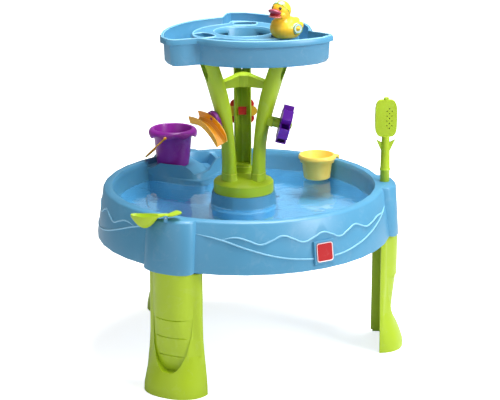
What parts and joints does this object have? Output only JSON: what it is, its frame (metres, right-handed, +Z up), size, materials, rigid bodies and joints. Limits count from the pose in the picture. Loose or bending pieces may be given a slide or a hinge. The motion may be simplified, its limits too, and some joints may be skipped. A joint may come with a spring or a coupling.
{
  "type": "sand and water table",
  "caption": "Round blue play pool on lime legs, with a water tower carrying a swirled tray, spinning toys, a tipping flipper, a bucket, a cup, a watering paddle and a bath duck.",
  "frame": {"origin": "centre of the bounding box on the floor, under the pool", "axes": "+Z up along the water tower, -Y towards the leg under the flipper"},
  "size_m": [0.7414, 0.7854, 0.9088],
  "materials": {
    "blue_plastic": "satin moulded",
    "lime_plastic": "satin moulded",
    "purple_plastic": "smooth moulded",
    "deep_purple_plastic": "smooth moulded",
    "orange_plastic": "smooth moulded",
    "yellow_plastic": "smooth moulded",
    "duck_yellow": "soft vinyl",
    "red_plastic": "smooth moulded",
    "gold_plastic": "smooth moulded",
    "steel": "plated"
  },
  "bodies": {
    "table": {"basin": "blue_plastic", "upper_tray": "blue_plastic", "leg_front": "lime_plastic", "leg_right": "lime_plastic", "leg_rear": "lime_plastic", "tower_base": "lime_plastic", "post_left": "lime_plastic", "post_right": "lime_plastic", "post_rear": "lime_plastic", "tower_brace": "lime_plastic", "wheel_mount": "lime_plastic", "wheel_cap": "lime_plastic", "chute_hub": "purple_plastic", "badge_plate": "red_plastic", "spinner_cap": "red_plastic", "spinner_mount": "red_plastic", "base_screw_1": "steel", "base_screw_2": "steel", "base_screw_3": "steel", "flipper_pin": "steel", "leg_screw_1": "steel", "leg_screw_2": "steel", "leg_screw_3": "steel", "leg_screw_4": "steel", "leg_screw_5": "steel", "leg_screw_6": "steel", "post_screw_1": "steel", "post_screw_2": "steel", "post_screw_3": "steel", "tray_screw_1": "steel", "tray_screw_2": "steel", "tray_screw_3": "steel"},
    "flipper": {"flipper": "lime_plastic"},
    "water_wheel": {"water_wheel": "deep_purple_plastic"},
    "spinner": {"spinner_front": "red_plastic", "spinner_back": "gold_plastic"},
    "chute": {"chute": "orange_plastic"},
    "bucket": {"bucket": "purple_plastic"},
    "bucket_bail": {"bucket_bail": "orange_plastic"},
    "hook_cup": {"hook_cup": "yellow_plastic"},
    "watering_paddle": {"watering_paddle": "lime_plastic"},
    "bath_duck": {"bath_duck": "duck_yellow"},
    "drain_plug": {"drain_plug": "blue_plastic"}
  },
  "joints": [
    {"name": "flipper_tip", "type": "hinge", "parent": "table", "child": "flipper", "pos_m": [-0.01, -0.3505, 0.44], "axis": [-0.4695, 0.8829, 0], "range_deg": [0, 20]},
    {"name": "water_wheel_turn", "type": "hinge", "parent": "table", "child": "water_wheel", "pos_m": [0.0715, 0.0205, 0.6], "axis": [0.865, 0.4384, -0.2441], "continuous": true},
    {"name": "spinner_turn", "type": "hinge", "parent": "table", "child": "spinner", "pos_m": [-0.03575, 0.08242, 0.6], "axis": [-0.4812, 0.8335, -0.2716], "continuous": true},
    {"name": "chute_tip", "type": "hinge", "parent": "table", "child": "chute", "pos_m": [-0.04873, -0.05367, 0.60764], "axis": [-0.2906, -0.9192, -0.2656], "range_deg": [0, 40]},
    {"name": "bucket_lift", "type": "slide", "parent": "table", "child": "bucket", "axis": [0, 0, 1], "range_m": [0, 0.15]},
    {"name": "bail_swing", "type": "hinge", "parent": "bucket", "child": "bucket_bail", "pos_m": [-0.269, 0.1335, 0.5053], "axis": [-0.2164, 0.9763, 0], "range_deg": [0, 260]},
    {"name": "cup_lift", "type": "slide", "parent": "table", "child": "hook_cup", "axis": [0, 0, 1], "range_m": [0, 0.09]},
    {"name": "paddle_lift", "type": "slide", "parent": "table", "child": "watering_paddle", "axis": [0, 0, 1], "range_m": [0, 0.08]},
    {"name": "duck_lift", "type": "slide", "parent": "table", "child": "bath_duck", "axis": [0, 0, 1], "range_m": [0, 0.06]},
    {"name": "plug_pull", "type": "slide", "parent": "table", "child": "drain_plug", "axis": [0, 0, 1], "range_m": [0, 0.04]}
  ]
}
